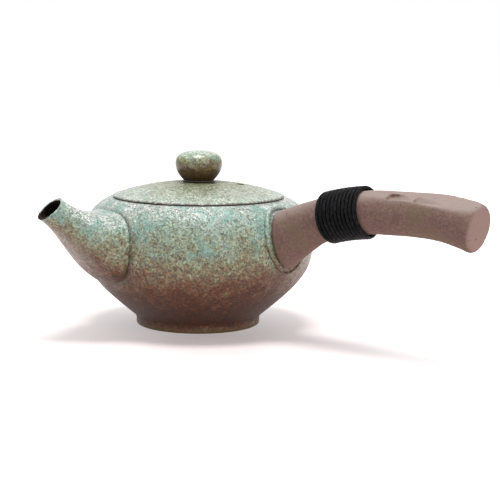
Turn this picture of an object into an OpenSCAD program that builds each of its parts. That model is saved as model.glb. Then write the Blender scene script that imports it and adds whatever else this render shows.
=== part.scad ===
// Side-handled stoneware teapot: a squat glazed pot with a funnel spout, a lift-off lid and an
// unglazed branch-shaped handle bound with black cord. Millimetres, +Z up, front towards -Y.
// The origin is the centre of the foot, on the table.

/* [Pot] */
// Widest diameter of the pot
pot_d = 96.8; // [90:0.2:108]
// Height of the widest point above the table
widest_h = 32.5; // [28:0.1:36]
// Height of the rim that the lid rests on
rim_h = 53.8; // [49:0.1:62]
// Outside diameter of the rim
rim_d = 74.2; // [73:0.2:80]
// Diameter of the mouth inside the rim
mouth_d = 62.6; // [56:0.2:66]
// Thickness of the rim ledge under the lid
rim_t = 3; // [2.4:0.1:5]
// Thickness of the pot wall
wall = 3.4; // [2.6:0.1:4.4]
// Thickness of the floor
floor_t = 4.2; // [3:0.1:6]
// Outside diameter of the foot ring
foot_d = 52.4; // [44:0.2:60]
// Height of the foot ring's outside face
foot_h = 3.5; // [1.6:0.1:5]
// Width of the foot ring's resting face
foot_w = 4.4; // [3:0.1:8]
// Depth of the recess inside the foot ring
foot_recess = 1.6; // [1:0.1:3]
// Steepness of the wall where it leaves the foot, in degrees
foot_slope = 41.6; // [30:0.2:55]
// Steepness of the shoulder where it reaches the rim, in degrees
rim_slope = 24; // [12:0.5:40]

/* [Lid] */
// Diameter of the lid
lid_d = 72.2; // [70:0.1:74]
// Height of the lid's rounded edge
lid_lip = 0.9; // [0.6:0.1:2]
// Rise of the lid's dome above its edge
lid_rise = 5.7; // [4:0.1:9]
// How flat the dome is in the middle
lid_flatness = 2.2; // [1.8:0.1:4]
// Thickness of the lid
lid_t = 3.1; // [2.4:0.1:4]
// Depth of the locating flange below the lid
flange_h = 7; // [4:0.2:12]
// Thickness of the locating flange
flange_t = 2.8; // [2:0.1:4]
// Radial play of the flange in the mouth
flange_play = 0.6; // [0.3:0.1:1.5]
// Diameter of the steam vent
vent_d = 2.6; // [1.5:0.1:4]
// Distance of the steam vent from the lid's axis
vent_reach = 17.7; // [12:0.1:22]

/* [Knob] */
// Widest diameter of the knob
knob_d = 19.8; // [16:0.1:26]
// Height of the knob above the lid
knob_h = 12.9; // [10:0.1:18]
// Height of the knob's widest point above the lid
knob_widest_h = 7.4; // [6:0.1:9]
// Diameter of the knob's neck
knob_neck_d = 12.8; // [8:0.1:15]
// Diameter of the knob's seat on the lid
knob_seat_d = 14.2; // [12:0.1:20]

/* [Spout] */
// Turn of the spout from the left towards the front, in degrees
spout_turn = 34; // [0:1:60]
// Distance from the pot's axis to the middle of the spout's mouth
spout_reach = 69; // [62:0.1:80]
// Height of the middle of the spout's mouth
spout_tip_h = 52.6; // [44:0.1:60]
// Outside diameter of the spout's mouth
spout_tip_d = 12.4; // [9:0.1:18]
// How far the mouth faces upwards, in degrees
spout_tip_tilt = 49; // [30:1:80]
// Wall thickness at the spout's mouth
spout_lip = 1.2; // [1:0.1:2.4]
// Wall thickness at the spout's root
spout_wall = 2.8; // [2:0.1:4.5]
// Width of the spout's root on the pot
spout_root_w = 39; // [30:0.2:42]
// Height of the spout's root on the pot
spout_root_h = 29; // [24:0.2:32]
// Height of the middle of the spout's root
spout_root_z = 35.8; // [30:0.1:37]
// Thickness of the spout's root edge, standing proud of the pot
spout_edge = 1.2; // [0.6:0.1:2.5]

/* [Strainer] */
// Radius of the strainer dome
strainer_r = 16; // [14:0.1:20]
// How far the dome bulges into the pot
strainer_bulge = 9; // [6:0.1:12]
// Thickness of the strainer
strainer_t = 2.2; // [1.6:0.1:3]
// Diameter of each strainer hole
strainer_hole_d = 2; // [1.2:0.1:2.6]
// Rings of holes round the middle one
strainer_rings = 3; // [1:1:4]
// Diameter of the port through the pot wall
port_d = 19; // [12:0.2:22]

/* [Handle] */
// Turn of the handle from the right towards the front, in degrees
handle_turn = 38; // [0:1:60]
// Thickness of the handle along its grip
handle_d = 17.7; // [14:0.1:22]
// Thickness of the handle where it leaves the pot
handle_root_d = 26.4; // [22:0.1:28]
// Thickness of the handle just before its end
handle_end_d = 19.2; // [14:0.1:24]
// Rounding of the handle's end
handle_round = 1.9; // [1:0.1:5]
// Distance from the pot's axis to the handle's end
handle_reach = 132.5; // [120:0.5:150]
// Height of the handle's highest stretch, at its middle
handle_top_h = 54.8; // [48:0.1:62]
// Slant of the handle's cut end, in degrees
handle_cut = 10; // [-15:1:20]
// Drop of the handle's end below its highest stretch
handle_drop = 2.7; // [0:0.1:12]
// Height of the handle's middle where it leaves the pot
handle_root_z = 36.7; // [33:0.1:39]
// How far the foot of the root is drawn out downwards
handle_pull = 1.15; // [1:0.01:1.25]
// Width of the collar bead round the handle's root
collar_w = 2.0; // [1.5:0.1:4]
// Height of the collar bead above the pot wall
collar_h = 1.4; // [1:0.1:3]

/* [Cord] */
// Thickness of the cord
cord_d = 1.3; // [0.8:0.05:1.3]
// Distance from one turn to the next
cord_pitch = 1.75; // [1.75:0.05:2.4]
// Number of turns
cord_turns = 11; // [4:1:14]
// Distance from the pot's axis to the first turn
cord_start = 67; // [60:0.5:74]
// Play between the cord and the handle
cord_play = 0.15; // [0.05:0.05:0.3]

/* [Hidden] */
$fn = 96;

// Thickness of the slip that lutes one clay piece to another
lute = 0.1;
// Steps along each curve of a turned outline
steps = 14;
// Points round each section of the spout, the handle and the collar
around = 40;
// Rings along the spout, along the handle, in the cap and the bend at its root, and round its end
spout_rows = 14;
handle_rows = 16;
cap_rows = 5;
bend_rows = 4;
end_rows = 4;
// Sides of the cord and rings in each of its turns
cord_sides = 6;
cord_rings = 24;

glaze = [0.55, 0.62, 0.54];
clay = [0.52, 0.43, 0.4];
black = [0.07, 0.07, 0.08];

pot_r = pot_d / 2;
rim_r = rim_d / 2;
mouth_r = mouth_d / 2;
foot_r = foot_d / 2;
lid_r = lid_d / 2;
lid_top = rim_h + lid_lip + lid_rise;
floor_top = foot_recess + floor_t;
flange_r = mouth_r - flange_play;
spout_az = 180 + spout_turn;
handle_az = -handle_turn;

// Curves

function bez(p, t) = let (u = 1 - t)
    u * u * u * p[0] + 3 * u * u * t * p[1] + 3 * u * t * t * p[2] + t * t * t * p[3];
function bez_slope(p, t) = let (u = 1 - t)
    3 * u * u * (p[1] - p[0]) + 6 * u * t * (p[2] - p[1]) + 3 * t * t * (p[3] - p[2]);
function unit(v) = v / norm(v);
function mix(a, b, t) = a + (b - a) * t;
function smooth(t) = let (c = min(1, max(0, t))) c * c * (3 - 2 * c);
function mean(points) = [for (k = [0:len(points[0]) - 1])
    [for (p = points) p[k]] * [for (p = points) 1] / len(points)];
function signed_pow(x, e) = sign(x) * pow(abs(x), e);
// A point of a rounded box outline, half sizes w and h, at angle a
function rounded(w, h, a, squareness) =
    [w * signed_pow(cos(a), 2 / squareness), h * signed_pow(sin(a), 2 / squareness)];

// Wall of the pot: foot to widest point, then widest point to rim.
// Each pull is how far the curve holds its direction, as a share of the height that it climbs.
foot_pull = 0.45;
belly_pull = 0.41;
shoulder_pull = 0.545;
rim_pull = 0.46;

low_climb = widest_h - foot_h;
high_climb = rim_h - widest_h;
low_curve = [
    [foot_r, foot_h],
    [foot_r, foot_h] + foot_pull * low_climb * [cos(foot_slope), sin(foot_slope)],
    [pot_r, widest_h - belly_pull * low_climb],
    [pot_r, widest_h],
];
high_curve = [
    [pot_r, widest_h],
    [pot_r, widest_h + shoulder_pull * high_climb],
    [rim_r, rim_h] + rim_pull * high_climb * [cos(rim_slope), -sin(rim_slope)],
    [rim_r, rim_h],
];
function wall_point(curve, t, inset) =
    bez(curve, t) + inset * unit([-bez_slope(curve, t)[1], bez_slope(curve, t)[0]]);
function wall_line(inset) = concat(
    [for (k = [0:steps]) wall_point(low_curve, k / steps, inset)],
    [for (k = [1:steps]) wall_point(high_curve, k / steps, inset)]
);
function radius_table(line) = [for (p = line) [p[1], p[0]]];

outer_line = wall_line(0);
outer_table = radius_table(outer_line);
function wall_r(z) = lookup(z, outer_table);
// Outward direction of the wall at height z, as [radial, vertical]
function wall_out(z) = unit([1, wall_r(z - 0.5) - wall_r(z + 0.5)]);
// A point on the wall at compass direction az, u to the side of it and height z, lifted off the wall
function on_wall(az, u, z, lift) = let (
    out = wall_out(z),
    a = az + asin(u / wall_r(z)),
    r = wall_r(z) + lift * out[0]
) [r * cos(a), r * sin(a), z + lift * out[1]];

// Inside of the pot up to the rim ledge, for a wall of thickness t
function inside_line(t) = let (
    line = wall_line(t),
    table = radius_table(line),
    low = floor_top,
    high = rim_h - rim_t
) concat(
    [[0, low], [lookup(low, table), low]],
    [for (p = line) if (p[1] > low + 0.1 && p[1] < high - 0.1) p],
    [[lookup(high, table), high]]
);

// Skins

// A skin over rings of equal length; a looped skin joins its last ring to its first
module skin(rings, looped = false) {
    n = len(rings[0]);
    m = len(rings);
    points = concat([for (r = rings) each r], looped ? [] : [mean(rings[0]), mean(rings[m - 1])]);
    sides = [for (i = [0:looped ? m - 1 : m - 2], j = [0:n - 1]) let (
        a = i * n + j,
        b = i * n + (j + 1) % n,
        c = (i + 1) % m * n + (j + 1) % n,
        d = (i + 1) % m * n + j
    ) each [[a, c, b], [a, d, c]]];
    caps = looped ? [] : [for (j = [0:n - 1]) each [
        [m * n, j, (j + 1) % n],
        [m * n + 1, (m - 1) * n + (j + 1) % n, (m - 1) * n + j],
    ]];
    polyhedron(points = points, faces = concat(sides, caps), convexity = 6);
}

// Pot

module pot() {
    color(glaze) difference() {
        rotate_extrude() polygon(concat(
            [[0, foot_recess], [foot_r - foot_w - foot_recess / 2, foot_recess]],
            [[foot_r - foot_w, 0], [foot_r, 0]],
            outer_line,
            [[mouth_r, rim_h], [mouth_r, rim_h - rim_t]],
            [for (k = [len(inside_line(wall)) - 1:-1:0]) inside_line(wall)[k]]
        ));
        rotate([0, 0, spout_az]) translate([pot_r - 3 * wall, 0, spout_root_z])
            rotate([0, 90, 0]) cylinder(d = port_d, h = 6 * wall);
    }
}

// Spout

spout_side = [-sin(spout_az), cos(spout_az), 0];
spout_ahead = [cos(spout_az), sin(spout_az), 0];
up = [0, 0, 1];
spout_squareness = 2.7;
// How far the spout's skin draws in over its root edge
spout_draw_in = 0.3;
function in_spout_plane(p) = p[0] * spout_ahead + p[1] * up;

// A point of the spout's root outline on the pot, taken in by inset and lifted off the wall
function spout_root(a, inset, lift) = let (
    q = rounded(spout_root_w / 2 - inset, spout_root_h / 2 - inset, a, spout_squareness)
) on_wall(spout_az, q[0], spout_root_z + q[1], lift);
// A point of the mouth's edge, on a circle of radius r
function spout_mouth(a, r) =
    in_spout_plane([spout_reach, spout_tip_h])
    + r * cos(a) * spout_side
    + r * sin(a) * in_spout_plane([-sin(spout_tip_tilt), cos(spout_tip_tilt)]);
// Pulls of the spout's lines as [ahead, up], in shares of its reach beyond the pot: its underside
// swells out of the belly and flares at the lip, and its top dips before it rises
leave_low = [0.495, 0.32];
leave_top = [0.385, -0.12];
arrive_low = [0.405, 0.23];
arrive_top = [0.07, 0.14];
// The line from root to mouth at angle a
function spout_line(a, root, mouth) = let (
    top = (1 + sin(a)) / 2,
    reach = spout_reach - pot_r,
    leave = reach * mix(leave_low, leave_top, top),
    arrive = reach * mix(arrive_low, arrive_top, top)
) [root, root + in_spout_plane(leave), mouth - in_spout_plane(arrive), mouth];
function spout_ring(t, inset, lift, r) = [for (j = [0:around - 1]) let (a = 360 * j / around)
    bez(spout_line(a, spout_root(a, inset, lift), spout_mouth(a, r)), t)];
function spout_root_ring(inset, lift) = [for (j = [0:around - 1]) spout_root(360 * j / around, inset, lift)];

module spout() {
    color(glaze) skin(concat(
        [spout_root_ring(0, lute)],
        [for (k = [0:spout_rows]) spout_ring(k / spout_rows, spout_draw_in, spout_edge, spout_tip_d / 2)],
        [for (k = [spout_rows:-1:0])
            spout_ring(k / spout_rows, spout_wall, lute, spout_tip_d / 2 - spout_lip)],
        [spout_root_ring(spout_wall / 2, lute)]
    ), looped = true);
}

// Strainer

// Angle from the dome's middle to its outermost ring of holes
strainer_spread = 38;

module cavity(t) {
    rotate_extrude() polygon(concat(inside_line(t), [[0, rim_h - rim_t]]));
}

module strainer() {
    centre = wall_r(spout_root_z) - wall - strainer_bulge + strainer_r;
    spread = strainer_spread / strainer_rings;
    color(glaze) difference() {
        intersection() {
            rotate([0, 0, spout_az]) translate([centre, 0, spout_root_z]) difference() {
                sphere(r = strainer_r);
                sphere(r = strainer_r - strainer_t);
            }
            cavity(wall + lute);
        }
        rotate([0, 0, spout_az]) translate([centre, 0, spout_root_z])
            for (ring = [0:strainer_rings], k = [0:max(1, 6 * ring) - 1])
                rotate([360 * k / max(1, 6 * ring), 0, 0]) rotate([0, -90 - spread * ring, 0])
                    translate([0, 0, strainer_r - strainer_t - 1])
                        cylinder(d = strainer_hole_d, h = strainer_t + 2);
    }
}

// Handle

handle_side = [-sin(handle_az), cos(handle_az), 0];
handle_ahead = [cos(handle_az), sin(handle_az), 0];
// Middle of the handle, as [distance from the axis, height]: the climb, then the fall to the end.
// It starts inside the wall. Each pull is how far the curve holds its direction.
root_start = [pot_r - 4.3, handle_root_z];
crest = [mix(pot_r, handle_reach, 0.577), handle_top_h];
tip = [handle_reach, handle_top_h - handle_drop];
root_pull = [11, 12.6];
crest_pull_in = [20, 0.2];
crest_pull_out = [11, 0.5];
tip_pull = [11, -4.2];
climb = [root_start, root_start + root_pull, crest - crest_pull_in, crest];
fall = [crest, crest + crest_pull_out, tip - tip_pull, tip];

function handle_middle(t) = t < 1 ? bez(climb, t) : bez(fall, t - 1);
function handle_slope(t) = unit(t < 1 ? bez_slope(climb, t) : bez_slope(fall, t - 1));
// Half thickness: flared at the root, even along the grip, swelling towards the end
flare_end = 0.48;
flare_fall = 1.6;
swell_start = 1.2;
swell_span = 0.6;
function handle_half(t) =
    handle_d / 2
    + (handle_root_d - handle_d) / 2 * pow(max(0, 1 - t / flare_end), flare_fall)
    + (handle_end_d - handle_d) / 2 * smooth((t - swell_start) / swell_span);
function in_handle_plane(p) = p[0] * handle_ahead + p[1] * up;
// The cut end slants, so the last rings lean with it
lean_start = 1.6;
function handle_lean(t, half, a) =
    -half * sin(a) * tan(handle_cut) * smooth((t - lean_start) / (2 - lean_start));
function handle_ring(t, half, shift = 0) = let (
    d = handle_slope(t),
    middle = in_handle_plane(handle_middle(t)),
    high = in_handle_plane([-d[1], d[0]]),
    ahead = in_handle_plane(d)
) [for (j = [0:around - 1]) let (a = 360 * j / around)
    middle + half * (cos(a) * handle_side + sin(a) * high) + (shift + handle_lean(t, half, a)) * ahead];

// Distance that p goes along d to meet the wall, found by halving the span from near to far
function meet_wall(p, d, near, far, n = 22) = let (
    half = (near + far) / 2,
    q = p + half * d,
    outside = norm([q[0], q[1]]) > wall_r(q[2]) + lute
) n == 0 ? half : outside ? meet_wall(p, d, half, far, n - 1) : meet_wall(p, d, near, half, n - 1);

// First ring clear of the wall, and the line on the pot where the handle's skin would run straight back
root_t = 0.3;
root_step = 0.06;
first_ring = handle_ring(root_t, handle_half(root_t));
straight_root = let (second = handle_ring(root_t + root_step, handle_half(root_t + root_step)))
    [for (j = [0:around - 1]) let (d = unit(first_ring[j] - second[j]))
        first_ring[j] + meet_wall(first_ring[j], d, 0, 30) * d];
// The root as [side, height] seen along the handle, drawn out downwards like pulled clay
straight_places = [for (p = straight_root) [p * handle_side, p[2]]];
root_middle = mean(straight_places);
root_places = [for (q = straight_places) let (v = q[1] - root_middle[1])
    [q[0], root_middle[1] + v * (v < 0 ? handle_pull : 1)]];
function root_ring(k) = [for (q = root_places) let (s = mix(root_middle, q, k))
    on_wall(handle_az, s[0], s[1], lute)];
bend_knee = 0.4;
// Between the wall and the first ring the skin bends from the drawn-out root into the grip
function bent_ring(t) = let (wide = root_ring(1)) [for (j = [0:around - 1]) let (
    knee = mix(straight_root[j], first_ring[j], bend_knee),
    u = 1 - t
) u * u * wide[j] + 2 * u * t * knee + t * t * first_ring[j]];

module handle() {
    rounding = [for (k = [1:end_rows]) 90 * k / end_rows];
    end_half = handle_half(2);
    color(clay) skin(concat(
        [for (k = [1:cap_rows]) root_ring(k / cap_rows)],
        [for (k = [1:bend_rows]) bent_ring(k / bend_rows)],
        [for (k = [1:handle_rows]) let (t = mix(root_t, 1, k / handle_rows)) handle_ring(t, handle_half(t))],
        [for (k = [1:handle_rows]) let (t = 1 + k / handle_rows) handle_ring(t, handle_half(t))],
        [for (a = rounding) handle_ring(2, end_half - handle_round * (1 - cos(a)), handle_round * sin(a))],
        [handle_ring(2, (end_half - handle_round) / 2, handle_round)]
    ));
}

// A bead of clay on the wall, all round the handle's root, slimmer towards the bottom
collar_points = 7;
collar_slimming = 0.6;
module handle_collar() {
    color(glaze) skin([for (q = root_places) let (
        out = unit(q - root_middle),
        slim = 1 - collar_slimming * smooth(-out[1])
    ) [for (k = [0:collar_points - 1]) let (
        a = 180 * k / (collar_points - 1),
        away = 2 * lute + slim * collar_w / 2 * (1 - cos(a)),
        w = q + away * [out[0], out[1] * wall_out(q[1])[0]]
    ) on_wall(handle_az, w[0], w[1], lute + slim * collar_h * sin(a))]], looped = true);
}

// Cord

cord_length = cord_pitch * cord_turns;
// Place along the handle, as t, that lies at distance s from the pot's axis
function handle_at(s, low = 0, high = 2, n = 24) = let (
    half = (low + high) / 2,
    beyond = handle_middle(half)[0] < s
) n == 0 ? half : beyond ? handle_at(s, half, high, n - 1) : handle_at(s, low, half, n - 1);
// The turns lie parallel, square to the handle's direction at the middle of the winding
cord_axis = handle_slope(handle_at(cord_start + cord_length / 2));
cord_high = in_handle_plane([-cord_axis[1], cord_axis[0]]);
// The cord starts and ends under the handle
cord_start_angle = 100;
// Middle of the cord after a number of turns
function cord_point(turn) = let (
    t = handle_at(cord_start + cord_pitch * turn * cord_axis[0]),
    lean = handle_slope(t) * cord_axis,
    r = handle_half(t) + cord_play + cord_d / 2,
    a = 360 * turn - cord_start_angle
) in_handle_plane(handle_middle(t)) + r * cos(a) * handle_side + r / lean * sin(a) * cord_high;
function cord_ahead(turn) = unit(cord_point(turn + 0.002) - cord_point(turn - 0.002));
cord_middle = concat(
    [cord_point(0) - cord_d * cord_ahead(0)],
    [for (k = [0:cord_rings * cord_turns]) cord_point(k / cord_rings)],
    [cord_point(cord_turns) + cord_d * cord_ahead(cord_turns)]
);
cord_gap = min([for (k = [1:cord_rings * (cord_turns - 1)])
    norm(cord_point(k / cord_rings) - cord_point(k / cord_rings + 1))]) - cord_d;
echo(cord_gap_between_turns = cord_gap);

module cord_wrap() {
    last = len(cord_middle) - 1;
    color(black) skin([for (k = [0:last]) let (
        ahead = unit(cord_middle[min(last, k + 1)] - cord_middle[max(0, k - 1)]),
        across = unit(in_handle_plane(cord_axis) - (in_handle_plane(cord_axis) * ahead) * ahead),
        out = cross(ahead, across)
    ) [for (j = [0:cord_sides - 1]) let (a = 360 * j / cord_sides)
        cord_middle[k] + cord_d / 2 * (cos(a) * across + sin(a) * out)]]);
}

// Lid

function dome(r) = rim_h + lid_lip + lid_rise * (1 - pow(r / lid_r, lid_flatness));
lid_round = min(0.6, lid_lip / 2);
knob_seat_r = knob_seat_d / 2;
// Inside radius of the flat face under the lid that carries the flange
lid_flat_r = flange_r - flange_t - 0.6;

module lid() {
    color(glaze) difference() {
        rotate_extrude() polygon(concat(
            [for (k = [0:steps]) let (r = lid_flat_r * k / steps) [r, max(rim_h, dome(r) - lid_t)]],
            [[lid_flat_r, rim_h]],
            [for (k = [0:4]) let (a = -90 + 90 * k / 4)
                [lid_r - lid_round + lid_round * cos(a), rim_h + lid_round + lid_round * sin(a)]],
            [for (k = [steps * 2:-1:1]) let (r = mix(knob_seat_r, lid_r, k / steps / 2)) [r, dome(r)]],
            [[knob_seat_r, lid_top], [0, lid_top]]
        ));
        translate([vent_reach, 0, rim_h - 1]) cylinder(d = vent_d, h = lid_top - rim_h + 2);
    }
}

module lid_flange() {
    color(glaze) translate([0, 0, rim_h - flange_h]) difference() {
        cylinder(r = flange_r, h = flange_h);
        translate([0, 0, -1]) cylinder(r = flange_r - flange_t, h = flange_h + 2);
    }
}

// Knob

// Height of the cove at the knob's foot
knob_cove_h = 0.5;
// How far the knob's flank and crown hold their directions, as shares of their spans
flank_out = [0.71, 0.39];
flank_in = 0.35;
crown_out = 0.75;
crown_in = 0.64;

module knob() {
    neck = [knob_neck_d / 2, knob_cove_h];
    widest = [knob_d / 2, knob_widest_h];
    top = [0, knob_h];
    span = widest - neck;
    flank = [
        neck,
        neck + [flank_out[0] * span[0], flank_out[1] * span[1]],
        widest - [0, flank_in * span[1]],
        widest,
    ];
    crown = [
        widest,
        widest + [0, crown_out * (knob_h - knob_widest_h)],
        top + [crown_in * widest[0], 0],
        top,
    ];
    cove = [[knob_seat_r, 0], [neck[0] + 0.1, 0.1], [neck[0], 0.2], neck];
    color(glaze) translate([0, 0, lid_top]) rotate_extrude() polygon(concat(
        [[0, 0]],
        [for (k = [0:5]) bez(cove, k / 5)],
        [for (k = [1:steps]) bez(flank, k / steps)],
        [for (k = [1:steps]) bez(crown, k / steps)]
    ));
}

pot();
spout();
strainer();
handle();
handle_collar();
cord_wrap();
lid();
lid_flange();
knob();
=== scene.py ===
# %% [markdown]
# # A side-handled teapot
# A small stoneware teapot that is poured with one hand: a squat pot with a speckled glaze that runs
# from brown at the foot to pale turquoise at the shoulder, a funnel spout, a loose lid, and a bare
# clay handle shaped like a branch and bound with black cord.
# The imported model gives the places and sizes. This lesson makes each piece again with a finer
# surface, gives it its finish, and sets up the floor, the light and the camera.

# %% Load the frame
from math import cos, pi, radians, sin

import bpy
from mathutils import Matrix, Vector
from mathutils.bvhtree import BVHTree


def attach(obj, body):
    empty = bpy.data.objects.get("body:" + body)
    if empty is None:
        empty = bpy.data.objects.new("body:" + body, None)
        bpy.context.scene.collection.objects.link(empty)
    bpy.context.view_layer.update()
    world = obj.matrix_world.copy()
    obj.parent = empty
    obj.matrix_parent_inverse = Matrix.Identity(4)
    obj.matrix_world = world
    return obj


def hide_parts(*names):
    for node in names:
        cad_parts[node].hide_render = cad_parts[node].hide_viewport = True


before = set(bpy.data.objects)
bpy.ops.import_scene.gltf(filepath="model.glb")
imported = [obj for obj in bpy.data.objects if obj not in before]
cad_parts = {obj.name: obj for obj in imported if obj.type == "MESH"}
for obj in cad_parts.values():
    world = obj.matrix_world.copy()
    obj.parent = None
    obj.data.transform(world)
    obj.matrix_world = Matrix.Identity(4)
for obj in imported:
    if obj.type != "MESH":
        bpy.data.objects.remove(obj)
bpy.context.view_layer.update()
bpy.ops.object.select_all(action="DESELECT")
MM = 0.001  # lengths are in millimetres, unless a comment says metres
print("nodes:", ", ".join(sorted(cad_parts)))

# %% [markdown]
# ## Camera
# The picture was taken from the front, a little above the rim, with a long lens, so that the pot
# is hardly distorted. The camera's height and tilt follow from how open the lid's ellipse looks.
# It could also be aimed with a Track To constraint, but a plain turn is easier to read and to check.

# %% Camera
CAMERA_PLACE = Vector((21.924, -588, 119.56)) * MM
CAMERA_DOWN = radians(8.55)
CAMERA_ROLL = radians(0.6)
CAMERA_LENS_MM, CAMERA_SENSOR_MM = 100.8, 36

turn = Matrix.Rotation(pi / 2 - CAMERA_DOWN, 3, "X") @ Matrix.Rotation(CAMERA_ROLL, 3, "Z")
bpy.ops.object.camera_add(location=CAMERA_PLACE, rotation=turn.to_euler())
camera = bpy.context.object
camera.data.lens = CAMERA_LENS_MM
camera.data.sensor_width = CAMERA_SENSOR_MM
bpy.context.scene.camera = camera
print("camera", [round(v, 3) for v in camera.location])

# %% [markdown]
# ## Turned pieces
# The pot, the lid, its flange and the knob are thrown and turned on a wheel, so each of them is one
# outline that goes round the upright axis. The outline is drawn as Bezier stretches in millimetres,
# as (radius, height), each with its own number of steps. The curve becomes a chain of edges, and Spin
# turns that chain into a skin. A Screw modifier would give the same; Spin needs no cleaning up after.

# %% Outline helpers
ROUNDNESS = 0.56  # brings a Bezier corner close to a quarter of a circle


def straight(a, b, steps=2):
    a, b = Vector(a), Vector(b)
    return (a, a.lerp(b, 1 / 3), a.lerp(b, 2 / 3), b), steps


def corner(a, tip, b, steps=5):
    """A rounded corner from a to b, whose sides would meet at tip."""
    a, tip, b = Vector(a), Vector(tip), Vector(b)
    return (a, a.lerp(tip, ROUNDNESS), b.lerp(tip, ROUNDNESS), b), steps


def curve(points, steps):
    return tuple(Vector(p) for p in points), steps


def backwards(stretch):
    return tuple(reversed(stretch[0])), stretch[1]


def inset(stretch, depth, steps):
    """The same stretch moved to its left by depth, as the inside of a wall."""
    a, b, c, d = stretch[0]
    left = Matrix(((0, -1), (1, 0)))
    start = a + depth * (left @ (b - a).normalized())
    end = d + depth * (left @ (d - c).normalized())
    scale = (end - start).length / (d - a).length
    return (start, start + scale * (b - a), end - scale * (d - c), end), steps


# %% Selecting
def select_only(piece):
    bpy.ops.object.select_all(action="DESELECT")
    piece.select_set(True)
    bpy.context.view_layer.objects.active = piece


def edit(piece):
    select_only(piece)
    bpy.ops.object.mode_set(mode="EDIT")
    bpy.ops.mesh.select_all(action="SELECT")


# %% Draw an outline
def upright(p):
    return Vector((p[0], 0, p[1])) * MM


def drawn(name, stretches):
    """A curve object with one Bezier spline for each stretch."""
    bpy.ops.object.select_all(action="DESELECT")
    bpy.ops.curve.primitive_bezier_curve_add(location=(0, 0, 0))
    piece = bpy.context.object
    piece.name = name
    piece.data.splines.clear()
    for (start, leave, arrive, end), steps in stretches:
        spline = piece.data.splines.new("BEZIER")
        spline.bezier_points.add(1)
        spline.resolution_u = steps
        for knot in spline.bezier_points:
            knot.handle_left_type = knot.handle_right_type = "FREE"
        first, last = spline.bezier_points
        first.co = first.handle_left = upright(start)
        first.handle_right = upright(leave)
        last.handle_left = upright(arrive)
        last.co = last.handle_right = upright(end)
    return piece


# %% Spin an outline
TURN_STEPS = 320
MERGE = 1e-6  # in metres
SMOOTH_ANGLE = radians(40)


def turned(name, stretches):
    piece = drawn(name, stretches)
    bpy.ops.object.convert(target="MESH")
    edit(piece)
    bpy.ops.mesh.remove_doubles(threshold=MERGE)
    bpy.ops.mesh.spin(steps=TURN_STEPS, angle=2 * pi, center=(0, 0, 0), axis=(0, 0, 1))
    bpy.ops.mesh.select_all(action="SELECT")
    bpy.ops.mesh.remove_doubles(threshold=MERGE)
    bpy.ops.mesh.normals_make_consistent(inside=False)
    bpy.ops.object.mode_set(mode="OBJECT")
    bpy.ops.object.shade_smooth_by_angle(angle=SMOOTH_ANGLE)
    print(name, len(piece.data.polygons), "faces")
    return piece


# %% [markdown]
# ## Pot
# The pot is one thrown piece: a turned foot ring with a rounded edge, a wall that flares out, a full
# shoulder, and a flat seat for the lid round the mouth. The outer wall repeats the two curves of the
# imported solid, and the inside is the same wall moved in by its thickness. A Solidify modifier could
# give the wall too, but not the foot ring and the seat, which have thicknesses of their own.

# %% Pot wall
POT_R, RIM_R, MOUTH_R, FOOT_R = 48.4, 37.1, 31.3, 26.2
WIDEST_H, RIM_H, FOOT_H = 32.5, 53.8, 3.5
WALL, FOOT_FILLET, RIM_ROUND = 3.4, 1.1, 0.6
FOOT_SLOPE, RIM_SLOPE = radians(41.6), radians(24)
LOW_PULLS, HIGH_PULLS = (0.45, 0.41), (0.545, 0.46)

low_climb, high_climb = WIDEST_H - FOOT_H, RIM_H - WIDEST_H
foot_way = Vector((cos(FOOT_SLOPE), sin(FOOT_SLOPE)))
rim_way = Vector((cos(RIM_SLOPE), -sin(RIM_SLOPE)))
foot_top, rim_edge = Vector((FOOT_R, FOOT_H)), Vector((RIM_R, RIM_H))
low_wall = curve(
    [foot_top + FOOT_FILLET * foot_way, foot_top + LOW_PULLS[0] * low_climb * foot_way,
     (POT_R, WIDEST_H - LOW_PULLS[1] * low_climb), (POT_R, WIDEST_H)], steps=40)
high_wall = curve(
    [(POT_R, WIDEST_H), (POT_R, WIDEST_H + HIGH_PULLS[0] * high_climb),
     rim_edge + HIGH_PULLS[1] * high_climb * rim_way, rim_edge + RIM_ROUND * rim_way], steps=36)
inner_low, inner_high = inset(low_wall, WALL, steps=16), inset(high_wall, WALL, steps=14)
print("wall climbs", low_climb, "and", round(high_climb, 1), "mm")

# %% Pot outline
FOOT_W, FOOT_RECESS, FOOT_ROUND, SOLE_ROUND = 4.4, 1.6, 0.8, 0.7
RECESS_FILLET, RECESS_TIP, RING_LEAN, RING_LEAN_H = 1.4, 0.8, 0.5, 1
FLOOR_TOP, FLOOR_FILLET = 5.8, 2
RIM_T, MOUTH_ROUND, LEDGE_ROUND = 3.0, 0.6, 0.5

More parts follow.
